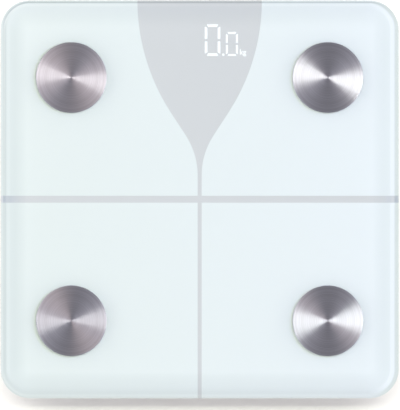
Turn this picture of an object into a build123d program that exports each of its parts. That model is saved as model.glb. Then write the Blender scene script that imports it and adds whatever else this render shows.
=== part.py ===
from build123d import *

import os

# A square glass bathroom scale with four steel electrodes. All sizes are in millimetres.
# X points right, Y points to the display end, Z points up from the floor.

# Glass platform
glass_side = 300.0
glass_corner = 22.0
glass_thick = 6.0
glass_top_round = 3.5
glass_bottom_round = 1.2

# Heights above the floor
tray_bottom = 6.0
tray_floor_top = 8.0
tray_top = 19.4
ink_bottom = 20.0
glass_bottom = 20.1
glass_top = glass_bottom + glass_thick

# Print under the glass
ink_inset = 2.0
bulb_half_width = 46.9
bulb_shoulder_y = 103.9
bulb_neck_y = 34.4
bulb_radius = 155.0
neck_radius = 55.0
stem_width = 3.0
band_width = 5.2
ink_hole_radius = 4.5

# Display digits: middle X, bottom Y, width, height and stroke of each lit digit
large_digit_x = 9.7
small_digit_x = 24.3
digit_base_y = 107.9
large_digit = (11.8, 23.9, 2.05)
small_digit = (9.1, 18.1, 1.55)
digit_pitch = 15.6
dot_x = 17.8
dot_radius = 0.95

# Electrodes
electrode_x = 96.5
electrode_y = 91.5
electrode_radius = 26.6
electrode_thick = 1.0
electrode_round = 0.45
seal_thick = 0.2
seal_radius = 25.4
stud_radius = 2.0
stud_end_z = 15.4
stud_hole_radius = 2.5
nut_flats = 7.0
nut_height = 3.2
terminal_thick = 0.8
terminal_radius = 4.0
barrel_radius = 1.2
barrel_end = 10.0
barrel_z = 18.8

# Base tray
tray_side = 276.0
tray_corner = 20.0
tray_wall = 2.0
rim_width = 4.0
rim_low_z = 16.4
tray_bottom_round = 3.0
gusset_reach = 4.0
gusset_top = 14.0
channel_xs = (62.0, 69.0)
channel_length = 150.0
channel_width = 3.0
channel_depth = 0.6
label_size = (70.0, 36.0)
label_corner = 3.0
label_y = -72.0
label_depth = 0.3

# Feet and load cells
foot_x = 113.0
foot_y = 113.0
foot_radius = 19.0
foot_gap = 0.6
collar_wall = 1.6
collar_top = 10.5
bezel_radius = 22.6
bezel_drop = 0.8
cup_bottom = 1.0
cup_floor_top = 3.5
cup_rim_z = 10.4
cup_wall = 2.0
boss_radius = 4.5
pad_radius = 16.0
pad_top = 1.8
cell_side = 34.0
cell_corner = 3.0
cell_bottom = 12.7
cell_thick = 1.5
cell_top = cell_bottom + cell_thick
cell_window = 24.0
tongue_width = 12.0
tongue_end = -7.0
cell_screw_at = 14.0
foot_screw_radius = 1.45

# Battery bay and door
bay_y = -6.0
bay_half_x = 25.0
bay_half_y = 17.3
bay_wall = 1.6
bay_roof_z = 18.8
bay_pad_top = 10.5
ledge_z = 7.9
door_half_x = 28.0
door_half_y = 20.0
door_top = 7.7
door_gap = 0.3
hinge_x = -26.4
hinge_z = 7.6
barrel_round = 1.6
barrel_half = 18.0
pin_radius = 0.8
pin_gap = 0.07
battery_pitch = 11.0
battery_radius = 5.25
battery_length = 44.5
nub_radius = 1.9
nub_length = 1.0
battery_z = 13.35
contact_thick = 0.4

# Circuit board
board_half_x = 46.0
board_low_y = 92.0
board_high_y = 134.0
board_bottom = 12.0
board_top = 13.6
led_x = 3.5
led_width = 69.0
led_low_y = 105.3
led_high_y = 133.5
led_top = 19.9
post_x = 43.0
post_ys = (105.5, 130.0)
connector_size = 5.0
connector_z = 15.6
switch_x = 20.0
switch_y = 99.0
button_radius = 4.0
button_gap = 0.08

# Corners: side of X, side of Y, turn that points the cable exit inward
corners = {
    "toe_left": (-1, 1, -90),
    "toe_right": (1, 1, 90),
    "heel_left": (-1, -1, 0),
    "heel_right": (1, -1, 0),
}


def slab(outline, low, thick):
    return Pos(0, 0, low) * extrude(outline, amount=thick)


def rod(x, y, low, high, radius):
    return Pos(x, y, (low + high) / 2) * Cylinder(radius, high - low)


def block(low, high):
    size = [b - a for a, b in zip(low, high)]
    middle = [(a + b) / 2 for a, b in zip(low, high)]
    return Pos(*middle) * Box(*size)


def cord(points, bends, radius):
    path = FilletPolyline(*points, radius=bends)
    start = Plane(origin=path @ 0, z_dir=path % 0)
    return sweep(start * Circle(radius), path=path)


def electrode_places():
    return [(sx * electrode_x, sy * electrode_y) for sx, sy, turn in corners.values()]


def foot_places():
    return [(sx * foot_x, sy * foot_y) for sx, sy, turn in corners.values()]


# Seven-segment digits
def digit_bar(middle_x, outer_y, inward, width, stroke):
    long_half = width / 2 - 0.75 * stroke
    short_half = width / 2 - 1.2 * stroke
    inner_y = outer_y + inward * stroke
    outline = Polyline(
        (middle_x - long_half, outer_y),
        (middle_x + long_half, outer_y),
        (middle_x + short_half, inner_y),
        (middle_x - short_half, inner_y),
        close=True,
    )
    return fillet(make_face(outline).vertices(), 0.15 * stroke)


def digit_upright(outer_x, inward, far_y, near_y, stroke):
    away = 1 if far_y > near_y else -1
    inner_x = outer_x + inward * stroke
    outline = Polyline(
        (outer_x, far_y - away * 0.8 * stroke),
        (outer_x, near_y),
        (inner_x, near_y),
        (inner_x, far_y - away * 1.4 * stroke),
        close=True,
    )
    return fillet(make_face(outline).vertices(), 0.15 * stroke)


def middle_bar(middle_x, middle_y, width, stroke):
    half = width / 2 - 1.2 * stroke
    return Pos(middle_x, middle_y) * RectangleRounded(2 * half, stroke, 0.3 * stroke)


def digit_zero(middle_x, size):
    width, height, stroke = size
    low_y = digit_base_y
    high_y = digit_base_y + height
    middle_y = digit_base_y + height / 2
    left = middle_x - width / 2
    right = middle_x + width / 2
    half_gap = 0.48 * stroke
    return [
        digit_bar(middle_x, high_y, -1, width, stroke),
        digit_bar(middle_x, low_y, 1, width, stroke),
        digit_upright(left, 1, high_y, middle_y + half_gap, stroke),
        digit_upright(right, -1, high_y, middle_y + half_gap, stroke),
        digit_upright(left, 1, low_y, middle_y - half_gap, stroke),
        digit_upright(right, -1, low_y, middle_y - half_gap, stroke),
    ]


def lit_shapes():
    dot = Pos(dot_x, digit_base_y + dot_radius) * Circle(dot_radius)
    return digit_zero(large_digit_x, large_digit) + digit_zero(small_digit_x, small_digit) + [dot]


# Glass and print
def glass_platform():
    outline = RectangleRounded(glass_side, glass_side, glass_corner)
    solid = slab(outline, glass_bottom, glass_thick)
    solid = fillet(solid.faces().sort_by(Axis.Z)[-1].edges(), glass_top_round)
    solid = fillet(solid.faces().sort_by(Axis.Z)[0].edges(), glass_bottom_round)
    for x, y in electrode_places():
        solid -= rod(x, y, glass_bottom - 1, glass_top + 1, stud_hole_radius)
    return solid


def ink_outline():
    side = glass_side - 2 * ink_inset
    outline = RectangleRounded(side, side, glass_corner - ink_inset)
    for x, y in electrode_places():
        outline -= Pos(x, y) * Circle(ink_hole_radius)
    return outline


def grey_outline():
    end = glass_side / 2 + 10
    half_stem = stem_width / 2
    right = FilletPolyline(
        (bulb_half_width, end),
        (bulb_half_width, bulb_shoulder_y),
        (half_stem, bulb_neck_y),
        (half_stem, -end),
        radius=[bulb_radius, neck_radius],
    )
    left = mirror(right, Plane.YZ)
    top = Line((-bulb_half_width, end), (bulb_half_width, end))
    foot = Line((-half_stem, -end), (half_stem, -end))
    bulb = make_face(right.edges() + left.edges() + top.edges() + foot.edges())
    return bulb + Rectangle(glass_side, band_width)


def prints():
    whole = ink_outline()
    grey = whole & grey_outline()
    white = whole - grey_outline()
    thick = glass_bottom - ink_bottom
    windows = [slab(shape, ink_bottom, thick) for shape in lit_shapes()]
    grey_print = slab(grey, ink_bottom, thick) - windows
    return slab(white, ink_bottom, thick), grey_print, Compound(children=windows)


# Electrodes
def electrode(x, y):
    low = glass_top + seal_thick
    disc = rod(x, y, low, low + electrode_thick, electrode_radius)
    disc = fillet(disc.faces().sort_by(Axis.Z)[-1].edges(), electrode_round)
    return disc + rod(x, y, stud_end_z, low, stud_radius)


def electrode_seal(x, y):
    ring = Circle(seal_radius) - Circle(stud_hole_radius)
    return Pos(x, y) * slab(ring, glass_top, seal_thick)


def electrode_nut(x, y):
    top = ink_bottom - terminal_thick
    hexagon = RegularPolygon(nut_flats / 2, 6, major_radius=False)
    ring = hexagon - Circle(stud_radius + 0.05)
    return Pos(x, y) * slab(ring, top - nut_height, nut_height)


# The barrel of a ring terminal points along local +Y
def ring_terminal(x, y, turn):
    low = ink_bottom - terminal_thick
    neck = Pos(0, terminal_radius) * Rectangle(2 * barrel_radius, 4)
    plate = slab(Circle(terminal_radius) + neck - Circle(stud_radius + 0.05), low, terminal_thick)
    start = terminal_radius + 1
    length = barrel_end - start
    barrel = Pos(0, start + length / 2, barrel_z) * Rot(90, 0, 0) * Cylinder(barrel_radius, length)
    return Pos(x, y) * Rot(0, 0, turn) * (plate + barrel)


# Feet and load cells, drawn round their own middle
def load_cell():
    plate = RectangleRounded(cell_side, cell_side, cell_corner)
    window = RectangleRounded(cell_window, cell_window, 2)
    root = cell_window / 2 + 1
    tongue = block((-tongue_width / 2, tongue_end, 0), (tongue_width / 2, root, cell_thick))
    solid = slab(plate, 0, cell_thick) - slab(window, 0, cell_thick) + tongue
    solid -= rod(0, 0, -1, cell_thick + 1, foot_screw_radius + 0.1)
    for side in (-1, 1):
        at = side * cell_screw_at
        solid -= rod(at, at, -1, cell_thick + 1, 1.1)
    return Pos(0, 0, cell_bottom) * solid


def cell_bracket():
    plate = RectangleRounded(cell_side, cell_side, cell_corner)
    window = RectangleRounded(cell_window, cell_window, 2)
    solid = slab(plate - window, cell_top, ink_bottom - cell_top)
    for side in (-1, 1):
        at = side * cell_screw_at
        solid -= rod(at, at, cell_top - 1, cell_top + 4, 1.05)
    exit_hole = Pos(0, cell_side / 2, 16) * Rot(90, 0, 0) * Cylinder(1.2, cell_side / 2)
    return solid - exit_hole


def cell_screw(at):
    head = rod(at, at, cell_bottom - 1.3, cell_bottom, 1.8)
    head = fillet(head.faces().sort_by(Axis.Z)[0].edges(), 0.5)
    return head + rod(at, at, cell_bottom, cell_top + 3.6, 1.0)


def strain_gauge():
    coat = slab(Pos(0, 8) * RectangleRounded(8, 6, 2), cell_top, 3.2)
    return fillet(coat.faces().sort_by(Axis.Z)[-1].edges(), 1.0)


def foot_cup():
    solid = rod(0, 0, cup_bottom, cup_rim_z, foot_radius)
    solid = fillet(solid.faces().sort_by(Axis.Z)[0].edges(), 1.5)
    solid -= rod(0, 0, cup_floor_top, cup_rim_z + 1, foot_radius - cup_wall)
    solid += rod(0, 0, cup_floor_top - 0.5, cell_bottom, boss_radius)
    solid -= rod(0, 0, cup_bottom - 1, pad_top, pad_radius + 0.1)
    return solid - rod(0, 0, 5.0, cell_bottom + 1, foot_screw_radius + 0.05)


def foot_pad():
    solid = rod(0, 0, 0, pad_top, pad_radius)
    return fillet(solid.faces().sort_by(Axis.Z)[0].edges(), 0.4)


def foot_screw():
    head = rod(0, 0, cell_top, cell_top + 2, 2.8)
    head = fillet(head.faces().sort_by(Axis.Z)[-1].edges(), 0.8)
    return head + rod(0, 0, 5.6, cell_top, foot_screw_radius)


# Base tray
def gussets():
    inner = tray_side / 2 - tray_wall
    reach = inner - gusset_reach
    ribs = []
    for at in (-75, -40, 40, 75):
        for side in (-1, 1):
            ribs.append(side_rib(side * reach, side * inner, at))
        ribs.append(end_rib(-reach, -inner, at))
        if abs(at) > 50:
            ribs.append(end_rib(reach, inner, at))
    return ribs


def side_rib(xa, xb, at):
    low_x = min(xa, xb)
    high_x = max(xa, xb)
    return block((low_x, at - 0.7, tray_floor_top - 0.5), (high_x, at + 0.7, gusset_top))


def end_rib(ya, yb, at):
    low_y = min(ya, yb)
    high_y = max(ya, yb)
    return block((at - 0.7, low_y, tray_floor_top - 0.5), (at + 0.7, high_y, gusset_top))


# A pair of small pins that hold a cord lying along Y
def cord_clip(x, y, radius):
    gap = radius + 0.2
    left = block((x - gap - 1.2, y - 2, 7.5), (x - gap, y + 2, 11.5))
    right = block((x + gap, y - 2, 7.5), (x + gap + 1.2, y + 2, 11.5))
    return [left, right]


def tray_shell():
    shell = slab(RectangleRounded(tray_side, tray_side, tray_corner), tray_bottom, tray_top - tray_bottom)
    shell = fillet(shell.faces().sort_by(Axis.Z)[0].edges(), tray_bottom_round)
    inner = tray_side - 2 * tray_wall
    mouth = tray_side - 2 * rim_width
    deep = RectangleRounded(inner, inner, tray_corner - tray_wall)
    shell -= slab(deep, tray_floor_top, rim_low_z - tray_floor_top)
    return shell - slab(RectangleRounded(mouth, mouth, tray_corner - rim_width), rim_low_z, 10)


def tray_fittings():
    parts = gussets()
    for x, y in foot_places():
        parts.append(rod(x, y, tray_bottom + 0.5, collar_top, foot_radius + foot_gap + collar_wall))
        parts.append(rod(x, y, tray_bottom - bezel_drop, tray_bottom + 0.5, bezel_radius))
    for side in (-1, 1):
        for y in post_ys:
            parts.append(rod(side * post_x, y, tray_floor_top - 0.5, board_bottom, 3))
        for y in (-40, 20):
            parts += cord_clip(side * foot_x, y, 1.0)
            parts += cord_clip(side * electrode_x, y, 0.7)
    return parts


def tray_bay():
    pad = block((-32, bay_y - 23.5, tray_floor_top - 0.5), (32, bay_y + 23.5, bay_pad_top))
    outer_x = bay_half_x + bay_wall
    outer_y = bay_half_y + bay_wall
    box = block((-outer_x, bay_y - outer_y, tray_floor_top), (outer_x, bay_y + outer_y, bay_roof_z + 1))
    return [pad, box]


def tray_bay_cuts():
    reach_x = door_half_x + door_gap
    reach_y = door_half_y + door_gap
    recess = block((hinge_x, bay_y - reach_y, 0), (reach_x, bay_y + reach_y, ledge_z))
    cheek_y = barrel_half + door_gap
    for side in (-1, 1):
        low_y = bay_y + min(side * cheek_y, side * (reach_y + 1))
        high_y = bay_y + max(side * cheek_y, side * (reach_y + 1))
        recess -= block((hinge_x - 5, low_y, 0), (hinge_x + 1.9, high_y, 20))
    low = (-bay_half_x, bay_y - bay_half_y, ledge_z - 1)
    high = (bay_half_x, bay_y + bay_half_y, bay_roof_z)
    hollow = block(low, high)
    turned = Pos(hinge_x, bay_y, hinge_z) * Rot(90, 0, 0)
    pocket = turned * Cylinder(barrel_round + door_gap, 2 * cheek_y)
    entry = block((hinge_x - 1.9, bay_y - cheek_y, 0), (hinge_x, bay_y + cheek_y, hinge_z))
    pins = turned * Cylinder(pin_radius + pin_gap, 2 * barrel_half + 5)
    tab_slots = [battery_tab(1, bay_y + battery_pitch, 0.2), battery_tab(-1, bay_y - battery_pitch, 0.2)]
    scoop = Pos(36.5, bay_y, tray_bottom - 14.8) * Sphere(16)
    return [recess, hollow, pocket, entry, pins, scoop] + tab_slots


# Stiffening channels and a bare label recess in the underside
def underside_cuts():
    label = Pos(0, label_y) * RectangleRounded(*label_size, label_corner)
    cuts = [slab(label, tray_bottom - 1, 1 + label_depth)]
    for x in channel_xs:
        for side in (-1, 1):
            channel = Pos(side * x, 0) * Rot(0, 0, 90) * SlotOverall(channel_length, channel_width)
            cuts.append(slab(channel, tray_bottom - 1, 1 + channel_depth))
    return cuts


def base_tray():
    solid = tray_shell() + tray_fittings() + tray_bay()
    solid -= tray_bay_cuts()
    solid -= underside_cuts()
    for x, y in foot_places():
        solid -= rod(x, y, 0, collar_top + 1, foot_radius + foot_gap)
    for side in (-1, 1):
        for y in post_ys:
            solid -= rod(side * post_x, y, tray_floor_top + 0.5, board_bottom + 1, 1.05)
    return solid - rod(switch_x, switch_y, 0, 12, button_radius + button_gap)


def mounting_tape():
    mouth = tray_side - 2 * rim_width
    ring = RectangleRounded(tray_side, tray_side, tray_corner)
    ring -= RectangleRounded(mouth, mouth, tray_corner - rim_width)
    return slab(ring, tray_top, ink_bottom - tray_top)


# Battery bay
def battery_door():
    plate = block((hinge_x, bay_y - door_half_y, tray_bottom), (door_half_x, bay_y + door_half_y, door_top))
    plate = fillet(plate.faces().sort_by(Axis.X)[-1].edges().filter_by(Axis.Z), 2.5)
    for side in (-1, 1):
        low_y = bay_y + min(side * barrel_half, side * (door_half_y + 1))
        high_y = bay_y + max(side * barrel_half, side * (door_half_y + 1))
        plate -= block((hinge_x - 1, low_y, 0), (hinge_x + 2.8, high_y, 20))
        slot_y = bay_y + side * 7.4
        plate -= block((17, slot_y - 0.4, 0), (door_half_x + 1, slot_y + 0.4, 20))
    for x in (20.5, 22.5, 24.5):
        plate -= block((x, bay_y - 5, tray_bottom - 1), (x + 0.9, bay_y + 5, tray_bottom + 0.5))
    turned = Pos(hinge_x, bay_y, hinge_z) * Rot(90, 0, 0)
    knuckle = turned * Cylinder(barrel_round, 2 * barrel_half)
    pin = turned * Cylinder(pin_radius, 2 * barrel_half + 4)
    return plate + knuckle + pin


def battery_cell(y, way):
    tip = bay_half_x - contact_thick
    can = battery_length - nub_length
    tube = Pos(tip - nub_length - can / 2, 0, 0) * Rot(0, 90, 0) * Cylinder(battery_radius, can)
    tube = fillet(tube.edges().filter_by(GeomType.CIRCLE), 0.5)
    nub = Pos(tip - nub_length / 2 - 0.5, 0, 0) * Rot(0, 90, 0) * Cylinder(nub_radius, nub_length + 1)
    cell = tube + nub
    if way < 0:
        cell = Rot(0, 0, 180) * cell
    return Pos(0, y, battery_z) * cell


def battery_tab(way, y, gap):
    low_x = bay_half_x - contact_thick
    high_x = bay_half_x + bay_wall + 2.4
    tab = block((low_x, -1.5 - gap, 14.8 - gap), (high_x, 1.5 + gap, 15.2 + gap))
    if way < 0:
        tab = Rot(0, 0, 180) * tab
    return Pos(0, y) * tab


def contact_plate(y, way, tabbed):
    inner_x = bay_half_x - contact_thick
    plate = block((inner_x, -4.75, 9), (bay_half_x, 4.75, 18))
    if way < 0:
        plate = Rot(0, 0, 180) * plate
    plate = Pos(0, y) * plate
    if tabbed:
        plate += battery_tab(way, y, 0)
    return plate


# A bowed leaf that presses on the flat end of a cell
def contact_spring(y, way, tabbed):
    inner_x = bay_half_x - contact_thick
    reach = inner_x - (battery_length - inner_x)
    crest = inner_x - reach + 0.05
    front = ThreePointArc((inner_x + 0.1, 9.6), (crest, battery_z), (inner_x + 0.1, 17.1))
    back = ThreePointArc((inner_x + 0.1, 10.2), (crest + contact_thick, battery_z), (inner_x + 0.1, 16.5))
    low = Line(front @ 0, back @ 0)
    high = Line(front @ 1, back @ 1)
    bow = make_face(front.edges() + high.edges() + back.edges() + low.edges())
    leaf = extrude(Plane.XZ * bow, amount=2.5, both=True)
    if way < 0:
        leaf = Rot(0, 0, 180) * leaf
    return contact_plate(y, way, tabbed) + Pos(0, y) * leaf


def battery_lead(way, y):
    start = bay_half_x + bay_wall + 2.4
    points = [
        (way * start, y, 15),
        (way * 35, y, 15),
        (way * 43, y, 8.7),
        (way * 52, y, 8.7),
        (way * 52, 48, 8.7),
        (way * 8, 48, 8.7),
        (way * 8, 76, 8.7),
        (way * 8, 84, connector_z),
        (way * 8, board_low_y, connector_z),
    ]
    return cord(points, [4, 4, 6, 6, 6, 4, 4], 0.6)


# Circuit board
def main_board():
    outline = Rectangle(2 * board_half_x, board_high_y - board_low_y)
    outline = Pos(0, (board_low_y + board_high_y) / 2) * outline
    for side in (-1, 1):
        for y in post_ys:
            outline -= Pos(side * post_x, y) * Circle(1.3)
    return slab(outline, board_bottom, board_top - board_bottom)


def led_display():
    low_x = led_x - led_width / 2
    high_x = led_x + led_width / 2
    body = block((low_x, led_low_y, board_top), (high_x, led_high_y, led_top))
    for shape in lit_shapes():
        body -= slab(shape, led_top - 0.8, 2)
    for step in (1, 2):
        middle_x = large_digit_x - step * digit_pitch
        for shape in digit_zero(middle_x, large_digit):
            body -= slab(shape, led_top - 0.8, 2)
        middle_y = digit_base_y + large_digit[1] / 2
        body -= slab(middle_bar(middle_x, middle_y, large_digit[0], large_digit[2]), led_top - 0.8, 2)
    return body


def board_connectors():
    half = connector_size / 2
    low = board_top
    high = board_top + 4
    blocks = []
    for side in (-1, 1):
        inner_x = min(side * (board_half_x - connector_size), side * board_half_x)
        for y in (98, foot_y):
            blocks.append(block((inner_x, y - half, low), (inner_x + connector_size, y + half, high)))
        for x in (8, 16, 24):
            middle = side * x
            far_y = board_low_y + connector_size
            blocks.append(block((middle - half, board_low_y, low), (middle + half, far_y, high)))
    return blocks


def board_screw(x, y):
    head = rod(x, y, board_top, board_top + 1.5, 2.2)
    head = fillet(head.faces().sort_by(Axis.Z)[-1].edges(), 0.6)
    return head + rod(x, y, tray_floor_top + 0.8, board_top, 1.0)


def unit_switch():
    body = block((switch_x - 3, switch_y - 3, 9.8), (switch_x + 3, switch_y + 3, board_bottom))
    return body - rod(switch_x, switch_y, 9, 11.3, 1.85)


def unit_button():
    cap = rod(switch_x, switch_y, tray_bottom - 0.5, tray_floor_top + 0.4, button_radius)
    cap = fillet(cap.faces().sort_by(Axis.Z)[0].edges(), 0.4)
    return cap + rod(switch_x, switch_y, tray_floor_top + 0.02, tray_floor_top + 0.82, 5.5)


# Cords from the corners to the board
def toe_cell_cable(side):
    points = [
        (side * 102, foot_y, 16),
        (side * 86, foot_y, 16),
        (side * 78, foot_y, 9.1),
        (side * 62, foot_y, 9.1),
        (side * 54, foot_y, connector_z),
        (side * board_half_x, foot_y, connector_z),
    ]
    return cord(points, [4, 4, 4, 4], 1.0)


def heel_cell_cable(side):
    points = [
        (side * foot_x, -102, 16),
        (side * foot_x, -86, 16),
        (side * foot_x, -78, 9.1),
        (side * foot_x, 66, 9.1),
        (side * 24, 66, 9.1),
        (side * 24, 76, 9.1),
        (side * 24, 84, connector_z),
        (side * 24, board_low_y, connector_z),
    ]
    return cord(points, [4, 4, 8, 6, 4, 4], 1.0)


def toe_electrode_lead(side):
    start_x = electrode_x - barrel_end
    points = [
        (side * start_x, electrode_y, barrel_z),
        (side * 82, electrode_y, barrel_z),
        (side * 74, electrode_y, 8.8),
        (side * 68, electrode_y, 8.8),
        (side * 61.5, 98, 8.8),
        (side * 58, 98, 8.8),
        (side * 52, 98, connector_z),
        (side * board_half_x, 98, connector_z),
    ]
    return cord(points, [3, 3, 3, 3, 2.5, 3], 0.7)


def heel_electrode_lead(side):
    start_y = barrel_end - electrode_y
    points = [
        (side * electrode_x, start_y, barrel_z),
        (side * electrode_x, -77, barrel_z),
        (side * electrode_x, -68, 8.8),
        (side * electrode_x, 58, 8.8),
        (side * 16, 58, 8.8),
        (side * 16, 76, 8.8),
        (side * 16, 84, connector_z),
        (side * 16, board_low_y, connector_z),
    ]
    return cord(points, [4, 4, 6, 6, 4, 4], 0.7)


def group(solids):
    return Compound(children=list(solids))


parts = {}

# Platform
white_print, grey_print, lit = prints()
parts["glass_platform"] = glass_platform()
parts["white_ink_print"] = white_print
parts["grey_ink_print"] = grey_print
parts["display_segments"] = lit

# One set for each corner
nuts = []
terminals = []
cell_screws = []
gauges = []
for name, (sx, sy, turn) in corners.items():
    ex = sx * electrode_x
    ey = sy * electrode_y
    place = Pos(sx * foot_x, sy * foot_y) * Rot(0, 0, turn)
    parts["electrode_" + name] = electrode(ex, ey)
    parts["electrode_seal_" + name] = electrode_seal(ex, ey)
    parts["load_cell_" + name] = place * load_cell()
    parts["cell_bracket_" + name] = place * cell_bracket()
    parts["foot_cup_" + name] = place * foot_cup()
    parts["foot_pad_" + name] = place * foot_pad()
    parts["foot_screw_" + name] = place * foot_screw()
    nuts.append(electrode_nut(ex, ey))
    terminals.append(ring_terminal(ex, ey, turn))
    gauges.append(place * strain_gauge())
    cell_screws.append(place * cell_screw(cell_screw_at))
    cell_screws.append(place * cell_screw(-cell_screw_at))

parts["electrode_nuts"] = group(nuts)
parts["ring_terminals"] = group(terminals)
parts["cell_screws"] = group(cell_screws)
parts["strain_gauges"] = group(gauges)
cell_cables = [toe_cell_cable(-1), toe_cell_cable(1), heel_cell_cable(-1), heel_cell_cable(1)]
parts["cell_cables"] = group(cell_cables)
electrode_leads = [toe_electrode_lead(-1), toe_electrode_lead(1)]
electrode_leads += [heel_electrode_lead(-1), heel_electrode_lead(1)]
parts["electrode_leads"] = group(electrode_leads)

# Base and battery bay
upper_y = bay_y + battery_pitch
lower_y = bay_y - battery_pitch
parts["base_tray"] = base_tray()
parts["mounting_tape"] = mounting_tape()
parts["battery_door"] = battery_door()
parts["battery_cell_upper"] = battery_cell(upper_y, 1)
parts["battery_cell_middle"] = battery_cell(bay_y, -1)
parts["battery_cell_lower"] = battery_cell(lower_y, 1)
plates = [contact_plate(upper_y, 1, True), contact_plate(bay_y, -1, False), contact_plate(lower_y, 1, False)]
springs = [contact_spring(upper_y, -1, False), contact_spring(bay_y, 1, False)]
springs.append(contact_spring(lower_y, -1, True))
parts["contact_plates"] = group(plates)
parts["contact_springs"] = group(springs)
parts["battery_leads"] = group([battery_lead(1, upper_y), battery_lead(-1, lower_y)])

# Electronics
parts["main_board"] = main_board()
parts["led_display"] = led_display()
parts["board_connectors"] = group(board_connectors())
parts["controller_chip"] = block((-20, 105, 10.6), (-10, 115, board_bottom))
parts["radio_module"] = block((-36, 112, 10.0), (-24, 128, board_bottom))
parts["board_screws"] = group([board_screw(side * post_x, y) for side in (-1, 1) for y in post_ys])
parts["unit_switch"] = unit_switch()
parts["switch_plunger"] = rod(switch_x, switch_y, tray_floor_top + 0.82, 10.6, 1.75)
parts["unit_button"] = unit_button()

os.makedirs("parts", exist_ok=True)
for name, shape in parts.items():
    export_step(shape, "parts/" + name + ".step")
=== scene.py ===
import math

import bmesh
import bpy
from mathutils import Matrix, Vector


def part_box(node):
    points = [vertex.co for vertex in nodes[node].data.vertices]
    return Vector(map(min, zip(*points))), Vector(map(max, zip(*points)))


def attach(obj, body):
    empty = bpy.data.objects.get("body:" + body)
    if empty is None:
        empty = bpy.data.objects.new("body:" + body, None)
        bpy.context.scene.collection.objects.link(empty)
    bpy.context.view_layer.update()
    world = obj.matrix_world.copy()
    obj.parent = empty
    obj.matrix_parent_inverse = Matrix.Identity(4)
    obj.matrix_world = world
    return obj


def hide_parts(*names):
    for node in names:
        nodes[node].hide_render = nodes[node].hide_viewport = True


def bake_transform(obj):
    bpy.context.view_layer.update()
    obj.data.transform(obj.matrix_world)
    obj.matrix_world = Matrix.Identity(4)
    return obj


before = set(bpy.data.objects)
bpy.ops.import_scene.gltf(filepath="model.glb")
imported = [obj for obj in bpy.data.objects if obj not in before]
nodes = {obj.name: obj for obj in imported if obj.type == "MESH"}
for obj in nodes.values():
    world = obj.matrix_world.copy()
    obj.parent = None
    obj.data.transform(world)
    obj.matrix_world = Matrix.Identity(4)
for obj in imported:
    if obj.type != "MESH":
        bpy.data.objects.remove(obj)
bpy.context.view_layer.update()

corners = ("toe_left", "toe_right", "heel_left", "heel_right")
mm = 0.001
weldGap = 1e-6  # metres; points of a CAD mesh that are closer are one
print("frame loaded:", len(nodes), "CAD nodes")


# sRGB hex to linear colour
def hexColor(text):
    values = [int(text[i:i + 2], 16) / 255 for i in (1, 3, 5)]
    linear = [v / 12.92 if v <= 0.04045 else ((v + 0.055) / 1.055) ** 2.4 for v in values]
    return (*linear, 1.0)


# adds a node, sets its settings, and links or fills its inputs
def addNode(tree, kind, inputs=None, **settings):
    node = tree.nodes.new(kind)
    for key, value in settings.items():
        setattr(node, key, value)
    for key, value in (inputs or {}).items():
        if isinstance(value, bpy.types.NodeSocket):
            tree.links.new(value, node.inputs[key])
        else:
            node.inputs[key].default_value = value
    return node


def newMaterial(name):
    material = bpy.data.materials.new(name)
    material.use_nodes = True
    material.node_tree.nodes.clear()
    return material, material.node_tree


def dress(material, *names):
    for name in names:
        mesh = nodes[name].data
        mesh.materials.clear()
        mesh.materials.append(material)


def atCorners(stem):
    return [stem + "_" + corner for corner in corners]


# makes a finished mesh an object with one material
def newPiece(name, mesh, material):
    mesh.name = name
    mesh.materials.clear()
    mesh.materials.append(material)
    piece = bpy.data.objects.new(name, mesh)
    bpy.context.scene.collection.objects.link(piece)
    return piece


# a plain made surface: two close colours in soft patches, and a grain that lifts it and breaks its gloss
grainLook = {"patchDetail": 3.0, "grainDetail": 4.0, "blend": (0.12, 0.42), "swing": (0.25, 0.75),
             "roughBy": 0.07, "deep": 0.25}


def plainFinish(name, look):
    material, tree = newMaterial(name)
    place = addNode(tree, "ShaderNodeTexCoord").outputs["Object"]
    drawn = addNode(tree, "ShaderNodeMapping", {"Vector": place, "Scale": look.get("drawn", (1, 1, 1))})
    patches = addNode(tree, "ShaderNodeTexNoise", {"Vector": place, "Scale": 1 / (look["patchMm"] * mm),
                      "Detail": grainLook["patchDetail"]})
    grain = addNode(tree, "ShaderNodeTexNoise", {"Vector": drawn.outputs["Vector"],
                    "Scale": 1 / (look["grainMm"] * mm), "Detail": grainLook["grainDetail"]})
    blend = addNode(tree, "ShaderNodeMath", {0: patches.outputs["Fac"], 1: grain.outputs["Fac"]},
                    operation="MULTIPLY")
    spread = addNode(tree, "ShaderNodeMapRange", {"Value": blend.outputs[0],
                     "From Min": grainLook["blend"][0], "From Max": grainLook["blend"][1]})
    color = addNode(tree, "ShaderNodeMix", {"Factor": spread.outputs["Result"], "A": hexColor(look["dark"]),
                    "B": hexColor(look["light"])}, data_type="RGBA")
    rough = addNode(tree, "ShaderNodeMapRange", {"Value": grain.outputs["Fac"],
                    "From Min": grainLook["swing"][0], "From Max": grainLook["swing"][1],
                    "To Min": look["rough"] - grainLook["roughBy"],
                    "To Max": look["rough"] + grainLook["roughBy"]})
    bump = addNode(tree, "ShaderNodeBump", {"Height": grain.outputs["Fac"], "Strength": look["bump"],
                   "Distance": look["grainMm"] * mm * grainLook["deep"]})
    shader = addNode(tree, "ShaderNodeBsdfPrincipled", {"Base Color": color.outputs["Result"],
                     "Roughness": rough.outputs["Result"], "Normal": bump.outputs["Normal"],
                     "Metallic": look.get("metal", 0.0), "IOR": look.get("ior", 1.5)})
    addNode(tree, "ShaderNodeOutputMaterial", {"Surface": shader.outputs["BSDF"]})
    return material


# tempered float glass, fire polished: clear with a mirror-like skin, and faintly green through its depth
glassLook = {"skin": "#ffffff", "depth": "#88e8ee", "perMeter": 9.0, "ior": 1.52, "rough": 0.004,
             "smudge": 0.012, "smudgeMm": 45, "smudgeDetail": 5.0, "flatGreen": 0.7}


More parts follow.
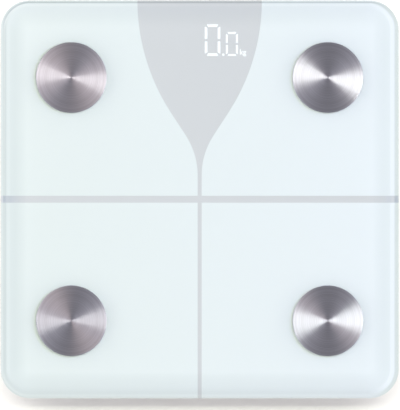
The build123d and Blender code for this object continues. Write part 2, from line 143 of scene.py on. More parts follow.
def temperedGlass(look):
    material, tree = newMaterial("tempered_float_glass")
    place = addNode(tree, "ShaderNodeTexCoord").outputs["Object"]
    smudge = addNode(tree, "ShaderNodeTexNoise", {"Vector": place, "Scale": 1 / (look["smudgeMm"] * mm),
                     "Detail": look["smudgeDetail"]})
    rough = addNode(tree, "ShaderNodeMapRange", {"Value": smudge.outputs["Fac"], "To Min": look["rough"],
                    "To Max": look["smudge"]})
    glass = addNode(tree, "ShaderNodeBsdfPrincipled", {"Base Color": hexColor(look["skin"]),
                    "IOR": look["ior"], "Transmission Weight": 1.0, "Roughness": rough.outputs["Result"]})
    # light on its way to the print goes straight through, less of it and greener where it comes in flat
    flat = addNode(tree, "ShaderNodeLayerWeight", {"Blend": 0.5})
    steep = addNode(tree, "ShaderNodeMath", {0: 1.0, 1: flat.outputs["Facing"]}, operation="SUBTRACT")
    greener = addNode(tree, "ShaderNodeMath", {0: steep.outputs[0], 1: look["flatGreen"]}, operation="POWER")
    tinged = addNode(tree, "ShaderNodeCombineColor", {"Red": greener.outputs[0], "Green": greener.outputs[0],
                     "Blue": steep.outputs[0]})
    clear = addNode(tree, "ShaderNodeBsdfTransparent", {"Color": tinged.outputs["Color"]})
    rays = addNode(tree, "ShaderNodeLightPath")
    passing = addNode(tree, "ShaderNodeMath", {0: rays.outputs["Is Shadow Ray"],
                      1: rays.outputs["Is Diffuse Ray"]}, operation="MAXIMUM")
    both = addNode(tree, "ShaderNodeMixShader", {"Fac": passing.outputs[0], 1: glass.outputs["BSDF"],
                   2: clear.outputs["BSDF"]})
    depth = addNode(tree, "ShaderNodeVolumeAbsorption", {"Color": hexColor(look["depth"]),
                    "Density": look["perMeter"]})
    addNode(tree, "ShaderNodeOutputMaterial", {"Surface": both.outputs["Shader"],
            "Volume": depth.outputs["Volume"]})
    return material


dress(temperedGlass(glassLook), "glass_platform")

# screen-print ink under glass: even and matt; near the glass edge it carries painted shade and a painted
# bright band, standing in for the light that the rounded glass edge bends and shades onto the print the edge
# shadings are pairs of mm from the glass edge and painted brightness: all round, at the toes, the heels and
# the right
printEdgeShading = {"halfMm": 150.0, "cornerMm": 22.0, "blendMm": (128.0, 142.0),
            "rim": [(0, 0.82), (2.45, 0.84), (2.75, 0.80), (3.5, 0.78), (4.4, 0.86), (5.3, 0.91), (6.8, 0.91),
                    (7.6, 0.88), (11, 0.885), (20, 1.0)],
            "toeRim": [(0, 0.70), (2.36, 0.70), (2.42, 0.86), (2.49, 0.78), (2.58, 0.66), (2.75, 0.63),
                       (2.9, 0.83), (3.15, 0.94), (4.2, 0.94), (4.9, 0.905), (6, 0.895), (8.5, 0.905),
                       (18, 1.0)],
            "heelRim": [(0, 0.75), (2.42, 0.75), (2.6, 0.86), (2.9, 0.87), (3.4, 0.81), (4.8, 0.81),
                        (6.5, 0.85), (10, 0.90), (22, 1.0)],
            "rightRim": [(0, 0.72), (2.8, 0.76), (3.2, 0.86), (3.7, 0.98), (6, 0.98), (7, 0.91), (11, 0.915),
                         (20, 1.0)]}
# each edge shading's axis and way, and the powers of its painted brightness in green and blue: the painted
# shade is tinted as light that goes further through the glass loses more red, and at the right more blue
edgeShadingSides = (("rim", "X", 0, 0.9, 0.9), ("toeRim", "Y", 1, 0.92, 0.85), ("heelRim", "Y", -1, 0.94, 0.94),
            ("rightRim", "X", 1, 0.88, 1.03), ("leftEnd", "X", -1, 0.8, 0.65),
            ("rightEnd", "X", 1, 0.8, 0.65))
inkLook = {"speckMm": 1.2, "speckDetail": 3.0, "mottle": (0.992, 1.008), "rough": 0.7}
# painted light across the sheet: each print goes from its left to its right colour, the white a hint bluer
# and the grey a little darker towards the right
whiteLook = {"left": "#f8fcf9", "right": "#f9fcfe"}
# painted shade: the grey line across ends darker at the left and the right, and the painted shade clears in
# the last bit at the left
greyLook = {"left": "#e6e5e6", "right": "#e0dfe0",
            "leftEnd": [(0, 0.91), (2.5, 0.91), (2.7, 0.87), (2.85, 0.68), (3.3, 0.68), (3.9, 0.785),
                        (4.7, 0.825), (6.2, 0.81), (7.7, 0.81), (9.2, 0.837), (22, 0.98)],
            "rightEnd": [(0, 0.68), (2.5, 0.68), (2.7, 0.645), (2.95, 0.68), (3.35, 0.84), (3.9, 0.95),
                         (4.85, 0.94), (6.4, 0.90), (7, 0.88), (9, 0.91), (11, 0.915), (20, 1.0)]}


def screenPrint(name, look):
    material, tree = newMaterial(name)
    place = addNode(tree, "ShaderNodeTexCoord").outputs["Object"]
    apart = addNode(tree, "ShaderNodeSeparateXYZ", {"Vector": place})
    half = printEdgeShading["halfMm"] * mm
    # painted light: the ink goes from its left colour to its right colour across the sheet
    across = addNode(tree, "ShaderNodeMapRange", {"Value": apart.outputs["X"], "From Min": -half,
                     "From Max": half})
    sideLightWash = addNode(tree, "ShaderNodeMix", {"Factor": across.outputs["Result"], "A": hexColor(look["left"]),
                   "B": hexColor(look["right"])}, data_type="RGBA")
    # how far inside the rounded square of the glass edge, as a share of its corner radius
    flat = addNode(tree, "ShaderNodeVectorMath", {0: place, 1: (1, 1, 0)}, operation="MULTIPLY")
    away = addNode(tree, "ShaderNodeVectorMath", {0: flat.outputs["Vector"]}, operation="ABSOLUTE")
    core = (printEdgeShading["halfMm"] - printEdgeShading["cornerMm"]) * mm
    past = addNode(tree, "ShaderNodeVectorMath", {0: away.outputs["Vector"], 1: (core, core, 0)},
                   operation="SUBTRACT")
    beyond = addNode(tree, "ShaderNodeVectorMath", {0: past.outputs["Vector"], 1: (0, 0, 0)},
                     operation="MAXIMUM")
    reach = addNode(tree, "ShaderNodeVectorMath", {0: beyond.outputs["Vector"]}, operation="LENGTH")
    inside = addNode(tree, "ShaderNodeMapRange", {"Value": reach.outputs["Value"],
                     "From Max": printEdgeShading["cornerMm"] * mm, "To Min": 1.0, "To Max": 0.0})
    # painted shade and painted bright bands along the glass edge, one ramp for each side, blended together
    rim = None
    for side, axis, way, green, blue in edgeShadingSides:
        levels = look.get(side, printEdgeShading.get(side))
        if levels is None:
            continue
        ramp = addNode(tree, "ShaderNodeValToRGB", {"Fac": inside.outputs["Result"]})
        stops = ramp.color_ramp.elements
        for count, (depthMm, level) in enumerate(levels):
            share = depthMm / printEdgeShading["cornerMm"]
            stop = stops[count] if count < 2 else stops.new(share)  # a new ramp has two stops
            stop.position = share
            stop.color = (level, level ** green, level ** blue, 1)
        if rim is None:
            rim = ramp.outputs["Color"]
            continue
        near = addNode(tree, "ShaderNodeMapRange", {"Value": apart.outputs[axis],
                       "From Min": way * printEdgeShading["blendMm"][0] * mm,
                       "From Max": way * printEdgeShading["blendMm"][1] * mm})
        rim = addNode(tree, "ShaderNodeMix", {"Factor": near.outputs["Result"], "A": rim,
                      "B": ramp.outputs["Color"]}, data_type="RGBA").outputs["Result"]
    speck = addNode(tree, "ShaderNodeTexNoise", {"Vector": place, "Scale": 1 / (inkLook["speckMm"] * mm),
                    "Detail": inkLook["speckDetail"]})
    mottle = addNode(tree, "ShaderNodeMapRange", {"Value": speck.outputs["Fac"],
                     "To Min": inkLook["mottle"][0], "To Max": inkLook["mottle"][1]})
    shaded = addNode(tree, "ShaderNodeVectorMath", {0: sideLightWash.outputs["Result"], 1: rim}, operation="MULTIPLY")
    color = addNode(tree, "ShaderNodeVectorMath", {0: shaded.outputs["Vector"], 1: mottle.outputs["Result"]},
                    operation="MULTIPLY")
    shader = addNode(tree, "ShaderNodeBsdfPrincipled", {"Base Color": color.outputs["Vector"],
                     "Roughness": inkLook["rough"], "Specular IOR Level": 0.0})
    addNode(tree, "ShaderNodeOutputMaterial", {"Surface": shader.outputs["BSDF"]})
    return material


# display light seen through clear windows in the print: plain white, a hint uneven as diffused light is
litLook = {"color": "#ffffff", "panel": "#84888c", "strength": 0.83, "uneven": 1.1, "spreadMm": 3,
           "rough": 0.5}


def litWindow(look):
    material, tree = newMaterial("lit_display_window")
    place = addNode(tree, "ShaderNodeTexCoord").outputs["Object"]
    spread = addNode(tree, "ShaderNodeTexNoise", {"Vector": place, "Scale": 1 / (look["spreadMm"] * mm)})
    level = addNode(tree, "ShaderNodeMapRange", {"Value": spread.outputs["Fac"], "To Min": look["strength"],
                    "To Max": look["strength"] * look["uneven"]})
    shader = addNode(tree, "ShaderNodeBsdfPrincipled", {"Base Color": hexColor(look["panel"]),
                     "Roughness": look["rough"], "Emission Color": hexColor(look["color"]),
                     "Emission Strength": level.outputs["Result"]})
    addNode(tree, "ShaderNodeOutputMaterial", {"Surface": shader.outputs["BSDF"]})
    return material


# the print is bonded to the glass, so its film sits a hair inside the glass's lower skin
filmLook = {"liftMm": 0.03}


def bondedFilm(name, node, material):
    mesh = nodes[node].data.copy()
    bm = bmesh.new()
    bm.from_mesh(mesh)
    bmesh.ops.remove_doubles(bm, verts=bm.verts, dist=weldGap)
    bmesh.ops.translate(bm, verts=bm.verts, vec=(0, 0, filmLook["liftMm"] * mm))
    bm.to_mesh(mesh)
    bm.free()
    film = newPiece(name, mesh, material)
    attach(film, "scale_body")
    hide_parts(node)


litMaterial = litWindow(litLook)
bondedFilm("white_print_film", "white_ink_print", screenPrint("white_screen_print", whiteLook))
bondedFilm("grey_print_film", "grey_ink_print", screenPrint("grey_screen_print", greyLook))
bondedFilm("lit_segment_film", "display_segments", litMaterial)

# the lit unit beside the digits; bold, half and weld are in the text's own units
unitLook = {"text": "kg", "bold": 0.022, "half": 0.5, "weld": 1e-5, "leftMm": 30.3, "wideMm": 4.9,
            "baseMm": 109.0, "tallMm": 4.0, "lowMm": 20.135, "thickMm": 0.02}


def unitMark(look, material):
    words = bpy.data.curves.new("unit_mark", "FONT")
    words.body = look["text"]
    words.extrude = look["half"]
    words.offset = look["bold"]
    holder = bpy.data.objects.new("unit_mark_text", words)
    bpy.context.scene.collection.objects.link(holder)
    bpy.context.view_layer.update()
    evaluated = holder.evaluated_get(bpy.context.evaluated_depsgraph_get())
    mesh = bpy.data.meshes.new_from_object(evaluated)
    bpy.data.objects.remove(holder)
    bm = bmesh.new()
    bm.from_mesh(mesh)
    bmesh.ops.remove_doubles(bm, verts=bm.verts, dist=look["weld"])
    low = min(v.co.x for v in bm.verts)
    wide = max(v.co.x for v in bm.verts) - low
    tall = max(v.co.y for v in bm.verts)
    size = (look["wideMm"] * mm / wide, look["tallMm"] * mm / tall, look["thickMm"] * mm)
    place = (look["leftMm"] * mm, look["baseMm"] * mm, look["lowMm"] * mm)
    bmesh.ops.translate(bm, verts=bm.verts, vec=(-low, 0, look["half"]))
    bmesh.ops.scale(bm, verts=bm.verts, vec=size)
    bmesh.ops.translate(bm, verts=bm.verts, vec=place)
    bmesh.ops.recalc_face_normals(bm, faces=bm.faces)
    bm.to_mesh(mesh)
    bm.free()
    mark = newPiece("unit_mark", mesh, material)
    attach(mark, "scale_body")


unitMark(unitLook, litMaterial)
print("glass and print done")


# stainless sheet turned against abrasive: rings that fan the lamp's light out to both sides of the middle
# the rings are drawn coarser than the real scratches, so that they show
steelLook = {"dark": "#9a9aa2", "light": "#ecedf7", "rough": 0.31, "roughBy": 0.05, "swing": (0.25, 0.75),
             "ringMm": 0.6, "ringDetail": 3.0, "ringBite": 0.7, "bandMm": 3.4, "bandDetail": 2.0,
             "bandShare": 0.25, "bump": 0.2, "deepMm": 0.03, "anisotropy": 1.0, "turn": 0.25,
             "discX": 96.5, "discY": 91.5}


def spunSteel(look):
    material, tree = newMaterial("spun_brushed_stainless")
    place = addNode(tree, "ShaderNodeTexCoord").outputs["Object"]
    mirrored = addNode(tree, "ShaderNodeVectorMath", {0: place}, operation="ABSOLUTE")
    local = addNode(tree, "ShaderNodeVectorMath", {0: mirrored.outputs["Vector"],
                    1: (look["discX"] * mm, look["discY"] * mm, 0)}, operation="SUBTRACT")
    flat = addNode(tree, "ShaderNodeVectorMath", {0: local.outputs["Vector"], 1: (1, 1, 0)},
                   operation="MULTIPLY")
    radius = addNode(tree, "ShaderNodeVectorMath", {0: flat.outputs["Vector"]}, operation="LENGTH")
    rings = addNode(tree, "ShaderNodeTexNoise", {"W": radius.outputs["Value"],
                    "Scale": 1 / (look["ringMm"] * mm), "Detail": look["ringDetail"],
                    "Roughness": look["ringBite"]}, noise_dimensions="1D")
    bands = addNode(tree, "ShaderNodeTexNoise", {"W": radius.outputs["Value"],
                    "Scale": 1 / (look["bandMm"] * mm), "Detail": look["bandDetail"]}, noise_dimensions="1D")
    both = addNode(tree, "ShaderNodeMix", {"Factor": look["bandShare"], "A": rings.outputs["Fac"],
                   "B": bands.outputs["Fac"]})
    color = addNode(tree, "ShaderNodeMix", {"Factor": both.outputs["Result"], "A": hexColor(look["dark"]),
                    "B": hexColor(look["light"])}, data_type="RGBA")
    rough = addNode(tree, "ShaderNodeMapRange", {"Value": both.outputs["Result"],
                    "From Min": look["swing"][0], "From Max": look["swing"][1],
                    "To Min": look["rough"] - look["roughBy"], "To Max": look["rough"] + look["roughBy"]})
    bump = addNode(tree, "ShaderNodeBump", {"Height": rings.outputs["Fac"], "Strength": look["bump"],
                   "Distance": look["deepMm"] * mm})
    # the tangent runs along the rings, and a quarter turn spreads the gloss across them
    brush = addNode(tree, "ShaderNodeTangent", direction_type="RADIAL", axis="Z")
    shader = addNode(tree, "ShaderNodeBsdfPrincipled", {"Base Color": color.outputs["Result"],
                     "Metallic": 1.0, "Roughness": rough.outputs["Result"], "Normal": bump.outputs["Normal"],
                     "Tangent": brush.outputs["Tangent"], "Anisotropic": look["anisotropy"],
                     "Anisotropic Rotation": look["turn"]})
    addNode(tree, "ShaderNodeOutputMaterial", {"Surface": shader.outputs["BSDF"]})
    return material


dress(spunSteel(steelLook), *atCorners("electrode"))
print("electrodes done")

# moulded ABS: off-white with a fine spark-eroded texture that keeps it satin
trayLook = {"dark": "#dfe2e3", "light": "#eeefee", "rough": 0.45, "grainMm": 0.6, "patchMm": 25, "bump": 0.25}
# vulcanised rubber: dull mid grey, slightly chalky
rubberLook = {"dark": "#84868a", "light": "#9a9c9e", "rough": 0.8, "grainMm": 0.5, "patchMm": 5, "bump": 0.45,
              "ior": 1.52}
# closed-cell foam: soft white with pin-sized pores
foamLook = {"dark": "#c8cccb", "light": "#e6e8e6", "rough": 0.85, "grainMm": 0.35, "patchMm": 3, "bump": 0.6}
# double-sided foam tape: warmer white, coarser pores
tapeLook = {"dark": "#cfcdc6", "light": "#e7e5df", "rough": 0.85, "grainMm": 0.5, "patchMm": 8, "bump": 0.5}
# button moulding: mid grey, satin
buttonLook = {"dark": "#8d9297", "light": "#a3a7ab", "rough": 0.4, "grainMm": 0.4, "patchMm": 4, "bump": 0.2}
dress(plainFinish("moulded_white_abs", trayLook), "base_tray", "battery_door", *atCorners("foot_cup"),
      *atCorners("cell_bracket"))
dress(plainFinish("soft_grey_rubber", rubberLook), *atCorners("foot_pad"))
dress(plainFinish("closed_cell_foam", foamLook), *atCorners("electrode_seal"))
dress(plainFinish("foam_tape", tapeLook), "mounting_tape")
dress(plainFinish("moulded_grey_abs", buttonLook), "unit_button")
print("base done")

# stamped spring steel: cool grey with rolling lines along the sheet
cellLook = {"dark": "#77777c", "light": "#9c9ca1", "rough": 0.36, "grainMm": 0.5, "patchMm": 9, "bump": 0.15,
            "metal": 1.0, "drawn": (0.08, 1, 1)}
# zinc plate: bright blue-white with faint clouding
zincLook = {"dark": "#a9acb2", "light": "#d2d3d6", "rough": 0.28, "grainMm": 0.3, "patchMm": 1.6, "bump": 0.1,
            "metal": 1.0}
# turned brass: warm yellow, tarnished in patches
brassLook = {"dark": "#9c7f45", "light": "#d0b06d", "rough": 0.3, "grainMm": 0.25, "patchMm": 2, "bump": 0.15,
             "metal": 1.0, "drawn": (1, 1, 0.2)}
# nickel-plated strip: warm bright grey
nickelLook = {"dark": "#a8a49c", "light": "#d0ccc4", "rough": 0.26, "grainMm": 0.3, "patchMm": 2.5,
              "bump": 0.1, "metal": 1.0, "drawn": (1, 0.1, 1)}
# tinned steel can: pale, lightly scuffed
canLook = {"dark": "#b2b3b5", "light": "#d6d6d6", "rough": 0.34, "grainMm": 0.4, "patchMm": 3, "bump": 0.12,
           "metal": 1.0}
springSteel = plainFinish("stamped_spring_steel", cellLook)
dress(springSteel, *atCorners("load_cell"))
dress(plainFinish("zinc_plated_steel", zincLook), "cell_screws", "board_screws", *atCorners("foot_screw"))
dress(plainFinish("turned_brass", brassLook), "electrode_nuts", "ring_terminals")
dress(plainFinish("nickel_plated_strip", nickelLook), "contact_plates", "contact_springs")
dress(plainFinish("tinned_steel_can", canLook), "radio_module")

# silicone blob: milky, smooth, a little wet
siliconeLook = {"dark": "#dcdcd8", "light": "#efefec", "rough": 0.3, "grainMm": 0.8, "patchMm": 3,
                "bump": 0.1, "ior": 1.41}
# extruded PVC jackets: smooth with faint draw marks
greyWireLook = {"dark": "#8f9295", "light": "#a6a8aa", "rough": 0.42, "grainMm": 0.3, "patchMm": 4,
                "bump": 0.12}
whiteWireLook = {**greyWireLook, "dark": "#d8d7d2", "light": "#ebeae6"}
redWireLook = {**greyWireLook, "dark": "#8e1d19", "light": "#b32c25", "rough": 0.4}
# natural nylon: cream, slightly waxy
nylonLook = {"dark": "#d9d3bf", "light": "#ebe6d6", "rough": 0.4, "grainMm": 0.4, "patchMm": 3, "bump": 0.15,
             "ior": 1.53}
# transfer-moulded epoxy: near black with a grey bloom
epoxyLook = {"dark": "#1b1b1d", "light": "#2c2c2f", "rough": 0.55, "grainMm": 0.2, "patchMm": 2, "bump": 0.3}
# polycarbonate reflector housing of the display: white, moulded smooth
housingLook = {"dark": "#e2e2de", "light": "#f0f0ec", "rough": 0.38, "grainMm": 0.5, "patchMm": 6,
               "bump": 0.15}
silicone = plainFinish("cast_silicone", siliconeLook)
dress(silicone, "strain_gauges")
dress(plainFinish("grey_pvc_jacket", greyWireLook), "cell_cables")
dress(plainFinish("white_pvc_jacket", whiteWireLook), "electrode_leads")
dress(plainFinish("red_pvc_jacket", redWireLook), "battery_leads")
dress(plainFinish("natural_nylon", nylonLook), "board_connectors", "switch_plunger")
dress(plainFinish("moulded_epoxy", epoxyLook), "controller_chip", "unit_switch")
dress(plainFinish("white_display_housing", housingLook), "led_display")

# under load a cell's tongue lifts with its foot and the gauge on it bends along; the frame round it stays put
# mm from the foot's middle towards the tongue's root; the cuts slice the sheet where it curves
cellBend = {"rootMm": 12.0, "startMm": 11.0, "endMm": 4.6, "cuts": 9, "halfWidthMm": 7.0, "tipMm": -9.0,
            "reachMm": 18.0, "cutGap": 1e-7, "sharpDeg": 35}
rootWay = {"toe_left": (1, 0, 0), "toe_right": (-1, 0, 0), "heel_left": (0, 1, 0), "heel_right": (0, 1, 0)}


def onTongue(along, across):
    return across < cellBend["halfWidthMm"] and cellBend["tipMm"] < along < cellBend["rootMm"]


def onFrame(along, across):
    return not onTongue(along, across)


def inCorner(along, across):
    return max(abs(along), across) < cellBend["reachMm"]


# a copy of the wanted part of a node, sliced across where it bends
def cellPiece(name, node, corner, wanted, material):
    low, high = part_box("foot_cup_" + corner)
    foot = (Vector(low) + Vector(high)) / 2
    way = Vector(rootWay[corner])
    side = Vector((way.y, way.x, 0))
    mesh = nodes[node].data.copy()
    bm = bmesh.new()
    bm.from_mesh(mesh)
    bmesh.ops.remove_doubles(bm, verts=bm.verts, dist=weldGap)
    step = (cellBend["startMm"] - cellBend["endMm"]) / cellBend["cuts"]
    slices = [cellBend["rootMm"]]
    slices += [cellBend["endMm"] + step * count for count in range(cellBend["cuts"] + 1)]
    for atMm in slices:
        everything = bm.verts[:] + bm.edges[:] + bm.faces[:]
        bmesh.ops.bisect_plane(bm, geom=everything, dist=cellBend["cutGap"], plane_co=foot + way * atMm * mm,
                               plane_no=way)
    spare = []
    for face in bm.faces:
        off = (face.calc_center_median() - foot) / mm
        if not wanted(off.dot(way), abs(off.dot(side))):
            spare.append(face)
    bmesh.ops.delete(bm, geom=spare, context="FACES")
    bmesh.ops.holes_fill(bm, edges=[edge for edge in bm.edges if edge.is_boundary])
    bmesh.ops.triangulate(bm, faces=bm.faces)
    bmesh.ops.recalc_face_normals(bm, faces=bm.faces)
    bm.to_mesh(mesh)
    bm.free()
    mesh.set_sharp_from_angle(angle=math.radians(cellBend["sharpDeg"]))
    piece = newPiece(name, mesh, material)
    if wanted is onFrame:
        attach(piece, "scale_body")
    else:
        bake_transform(piece)
    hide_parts(node)


for corner in corners:
    cellPiece("cell_frame_" + corner, "load_cell_" + corner, corner, onFrame, springSteel)
    cellPiece("cell_tongue_" + corner, "load_cell_" + corner, corner, onTongue, springSteel)
    cellPiece("gauge_coat_" + corner, "strain_gauges", corner, inCorner, silicone)
print("load cells done")

# circuit board: green mask over copper, so the tracks show as paler lines
boardLook = {"mask": "#14502f", "track": "#2b7a4c", "pitchMm": 3.2, "trackMm": 0.5, "stray": 0.6,
             "rough": 0.35, "bump": 0.4, "copperMm": 0.03}


def solderMask(look):
    material, tree = newMaterial("solder_masked_board")
    place = addNode(tree, "ShaderNodeTexCoord").outputs["Object"]
    cells = addNode(tree, "ShaderNodeTexVoronoi", {"Vector": place, "Scale": 1 / (look["pitchMm"] * mm),
                    "Randomness": look["stray"]}, feature="DISTANCE_TO_EDGE")
    track = addNode(tree, "ShaderNodeMath", {0: cells.outputs["Distance"],
                    1: look["trackMm"] / look["pitchMm"] / 2}, operation="LESS_THAN")
    color = addNode(tree, "ShaderNodeMix", {"Factor": track.outputs[0], "A": hexColor(look["mask"]),
                    "B": hexColor(look["track"])}, data_type="RGBA")
    bump = addNode(tree, "ShaderNodeBump", {"Height": track.outputs[0], "Strength": look["bump"],
                   "Distance": look["copperMm"] * mm})
    shader = addNode(tree, "ShaderNodeBsdfPrincipled", {"Base Color": color.outputs["Result"],
                     "Roughness": look["rough"], "Normal": bump.outputs["Normal"]})
    addNode(tree, "ShaderNodeOutputMaterial", {"Surface": shader.outputs["BSDF"]})
    return material


dress(solderMask(boardLook), "main_board")

# shrink-wrapped steel cell: dark glossy film with one pale ring at the button end, bare steel at both ends
cellWrapLook = {"film": "#2c3038", "ring": "#c9ccd0", "steel": "#b9b8b5", "ringMm": (12.5, 15.5),
                "filmMm": (-19.4, 23.1), "scuffMm": 2.5, "scuffDetail": 4.0, "rough": (0.2, 0.4)}


def wrappedCell(name, way, look):
    material, tree = newMaterial(name)
    place = addNode(tree, "ShaderNodeTexCoord").outputs["Object"]
    along = addNode(tree, "ShaderNodeSeparateXYZ", {"Vector": place})
    middle = way * sum(look["ringMm"]) / 2 * mm
    ring = addNode(tree, "ShaderNodeMath", {0: along.outputs["X"], 1: middle,
                   2: (look["ringMm"][1] - look["ringMm"][0]) / 2 * mm}, operation="COMPARE")
    center = way * sum(look["filmMm"]) / 2 * mm
    film = addNode(tree, "ShaderNodeMath", {0: along.outputs["X"], 1: center,
                   2: (look["filmMm"][1] - look["filmMm"][0]) / 2 * mm}, operation="COMPARE")
    scuff = addNode(tree, "ShaderNodeTexNoise", {"Vector": place, "Scale": 1 / (look["scuffMm"] * mm),
                    "Detail": look["scuffDetail"]})
    printed = addNode(tree, "ShaderNodeMix", {"Factor": ring.outputs[0], "A": hexColor(look["film"]),
                      "B": hexColor(look["ring"])}, data_type="RGBA")
    color = addNode(tree, "ShaderNodeMix", {"Factor": film.outputs[0], "A": hexColor(look["steel"]),
                    "B": printed.outputs["Result"]}, data_type="RGBA")
    bare = addNode(tree, "ShaderNodeMath", {0: 1.0, 1: film.outputs[0]}, operation="SUBTRACT")
    rough = addNode(tree, "ShaderNodeMapRange", {"Value": scuff.outputs["Fac"], "To Min": look["rough"][0],
                    "To Max": look["rough"][1]})
    shader = addNode(tree, "ShaderNodeBsdfPrincipled", {"Base Color": color.outputs["Result"],
                     "Metallic": bare.outputs[0], "Roughness": rough.outputs["Result"]})
    addNode(tree, "ShaderNodeOutputMaterial", {"Surface": shader.outputs["BSDF"]})
    return material


for cell in ("upper", "middle", "lower"):
    lowEnd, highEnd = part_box("battery_cell_" + cell)
    way = 1 if highEnd[0] > -lowEnd[0] else -1  # the button end reaches further
    dress(wrappedCell("wrapped_cell_" + cell, way, cellWrapLook), "battery_cell_" + cell)
print("inner parts done")

# matt paper floor: near white, and as white as the backdrop to the eye and in reflections
stageLook = {"floor": "#f0f0f0", "seen": "#fffef8", "sizeM": 8.0, "cuts": 4}


def studioFloor(look):
    bm = bmesh.new()
    bmesh.ops.create_grid(bm, x_segments=look["cuts"], y_segments=look["cuts"], size=look["sizeM"] / 2)
    mesh = bpy.data.meshes.new("studio_floor")
    bm.to_mesh(mesh)
    bm.free()
    material, tree = newMaterial("matt_white_paper")
    rays = addNode(tree, "ShaderNodeLightPath")
    seen = addNode(tree, "ShaderNodeMath", {0: rays.outputs["Is Camera Ray"],
                   1: rays.outputs["Is Glossy Ray"]}, operation="MAXIMUM")
    shown = addNode(tree, "ShaderNodeMath", {0: seen.outputs[0], 1: rays.outputs["Is Transmission Ray"]},
                    operation="MAXIMUM")
    color = addNode(tree, "ShaderNodeMix", {"Factor": shown.outputs[0], "A": hexColor(look["floor"]),
                    "B": hexColor(look["seen"])}, data_type="RGBA")
    shader = addNode(tree, "ShaderNodeBsdfDiffuse", {"Color": color.outputs["Result"]})
    addNode(tree, "ShaderNodeOutputMaterial", {"Surface": shader.outputs["BSDF"]})
    floor = newPiece("studio_floor", mesh, material)


studioFloor(stageLook)

# metres; level is what a white card lying at the aim point would read from this lamp alone
aimPoint = (0, 0, 0.026)
# a cool key from the right throws the discs' shadows to the left
keyLook = {"place": (0.58, 0.20, 1.8), "size": (0.6, 0.4), "soft": 0.6, "level": 0.17, "color": "#b0b1ff",
           "glossy": False}
# two boxes from the right make the fans on the discs, and light nothing else
rightGlint = {"place": (1.03, -0.05, 1.825), "size": (1.12, 0.6), "soft": 0.6, "level": 0.263,
              "color": "#fbfff4", "diffuse": False, "only": ["electrode_toe_right", "electrode_heel_right"]}
leftGlint = {**rightGlint, "place": (1.044, -0.05, 1.85), "level": 0.195, "color": "#fffdf3",
             "only": ["electrode_toe_left", "electrode_heel_left"]}
topLook = {"place": (0.10, 0.10, 3.0), "size": (1.0, 1.0), "soft": 0.3, "level": 0.505, "color": "#fffff8",
           "glossy": False}
# a wide strip behind the toes: it clears the paper to white and leaves a shadow in front of the heels
stripLook = {"place": (0, 0.60, 1.42), "size": (6.0, 0.42), "soft": 0.3, "level": 1.8, "color": "#ffffff",
             "glossy": False, "only": ["studio_floor"]}
# a warm card at the left shows in the gloss only
cardLook = {"place": (-0.40, 0.20, 0.85), "size": (1.0, 0.75), "soft": 1.0, "level": 0.092,
            "color": "#ffe4d6", "diffuse": False}


def softbox(name, look):
    lamp = bpy.data.lights.new(name, "AREA")
    lamp.shape = "RECTANGLE"
    lamp.size, lamp.size_y = look["size"]
    # the cloth of a softbox is brightest in its middle and fades to its rim
    lamp.use_nodes = True
    tree = lamp.node_tree
    tree.nodes.clear()
    spot = addNode(tree, "ShaderNodeNewGeometry").outputs["Parametric"]
    offMiddle = addNode(tree, "ShaderNodeVectorMath", {0: spot, 1: (2, 2, 0), 2: (-1, -1, 0)},
                        operation="MULTIPLY_ADD")
    spotApart = addNode(tree, "ShaderNodeSeparateXYZ", {"Vector": offMiddle.outputs["Vector"]})
    fades = []
    for side in ("X", "Y"):
        far = addNode(tree, "ShaderNodeMath", {0: spotApart.outputs[side]}, operation="ABSOLUTE")
        fade = addNode(tree, "ShaderNodeMapRange", {"Value": far.outputs["Value"],
                       "From Min": 1 - look["soft"], "To Min": 1.0, "To Max": 0.0},
                       interpolation_type="SMOOTHSTEP")
        fades.append(fade.outputs["Result"])
    cloth = addNode(tree, "ShaderNodeMath", {0: fades[0], 1: fades[1]}, operation="MULTIPLY")
    shine = addNode(tree, "ShaderNodeEmission", {"Color": hexColor(look["color"]),
                    "Strength": cloth.outputs["Value"]})
    addNode(tree, "ShaderNodeOutputLight", {"Surface": shine.outputs["Emission"]})
    # a facing card at a distance reads power / (pi * distance) ** 2, less for its tilt and for the faded rim
    away = Vector(look["place"]) - Vector(aimPoint)
    tilt = away.normalized().z
    lit = (1 - look["soft"] / 2) ** 2
    lamp.energy = look["level"] * math.pi * math.pi * away.length_squared / tilt / lit
    box = bpy.data.objects.new(name, lamp)
    box.location = look["place"]
    box.rotation_euler = away.to_track_quat("Z", "Y").to_euler()
    box.visible_glossy = look.get("glossy", True)
    box.visible_diffuse = look.get("diffuse", True)
    box.visible_camera = False
    bpy.context.scene.collection.objects.link(box)
    # some lamps light a few pieces only, and the others leave out the paper
    linked = bpy.data.collections.new(name + "_links")
    for piece in look.get("only", ["studio_floor"]):
        linked.objects.link(bpy.data.objects[piece])
    for link in linked.collection_objects:
        link.light_linking.link_state = "INCLUDE" if "only" in look else "EXCLUDE"
    box.light_linking.receiver_collection = linked


softbox("key_softbox", keyLook)
softbox("right_glint", rightGlint)
softbox("left_glint", leftGlint)
softbox("top_softbox", topLook)
softbox("paper_strip", stripLook)
softbox("left_card", cardLook)

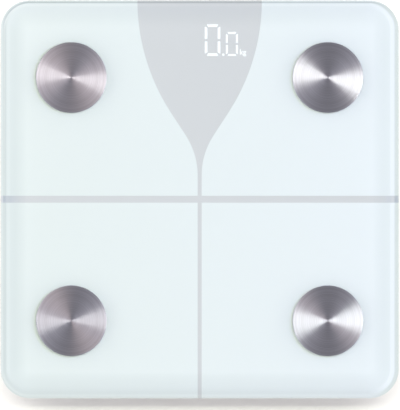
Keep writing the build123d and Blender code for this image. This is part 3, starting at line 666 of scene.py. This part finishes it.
# soft light all round, brighter low down and at the left and right
airLook = {"horizon": 0.56, "zenith": 0.275, "lift": (0.05, 0.9), "sides": 1.3, "tint": "#fbf8ff"}


def studioAir(look):
    world = bpy.data.worlds.new("studio_air")
    world.use_nodes = True
    bpy.context.scene.world = world
    tree = world.node_tree
    tree.nodes.clear()
    ray = addNode(tree, "ShaderNodeTexCoord").outputs["Generated"]
    apart = addNode(tree, "ShaderNodeSeparateXYZ", {"Vector": ray})
    lift = addNode(tree, "ShaderNodeMapRange", {"Value": apart.outputs["Z"], "From Min": look["lift"][0],
                   "From Max": look["lift"][1], "To Min": look["horizon"], "To Max": look["zenith"]})
    sides = addNode(tree, "ShaderNodeMath", {0: apart.outputs["X"], 1: apart.outputs["X"]},
                    operation="MULTIPLY")
    glow = addNode(tree, "ShaderNodeMath", {0: sides.outputs["Value"], 1: look["sides"],
                   2: lift.outputs["Result"]}, operation="MULTIPLY_ADD")
    air = addNode(tree, "ShaderNodeBackground", {"Color": hexColor(look["tint"]),
                  "Strength": glow.outputs["Value"]})
    addNode(tree, "ShaderNodeOutputWorld", {"Surface": air.outputs["Background"]})


studioAir(airLook)

# straight down with a long lens; the picture's taller side fills the sensor
# wide, tall and center are in pixels, and center is where the middle of the glass lies in the picture
cameraLook = {"lens": 400.0, "sensorMm": 36.0, "wide": 400, "tall": 410, "pixelMm": 0.7525, "centerX": 199.65,
              "centerY": 199.2, "planeMm": 26.1, "clip": (0.01, 50)}


def photoCamera(look):
    data = bpy.data.cameras.new("photo_camera")
    data.lens = look["lens"]
    data.sensor_width = look["sensorMm"]
    data.clip_start, data.clip_end = look["clip"]
    pixel = look["pixelMm"] * mm
    height = look["tall"] * pixel * look["lens"] / look["sensorMm"]
    offX = (look["wide"] / 2 - look["centerX"]) * pixel
    offY = (look["centerY"] - look["tall"] / 2) * pixel
    camera = bpy.data.objects.new("photo_camera", data)
    camera.location = (offX, offY, look["planeMm"] * mm + height)
    bpy.context.scene.collection.objects.link(camera)
    bpy.context.scene.camera = camera


photoCamera(cameraLook)
bpy.context.scene.view_settings.view_transform = "Standard"
print("stage done")
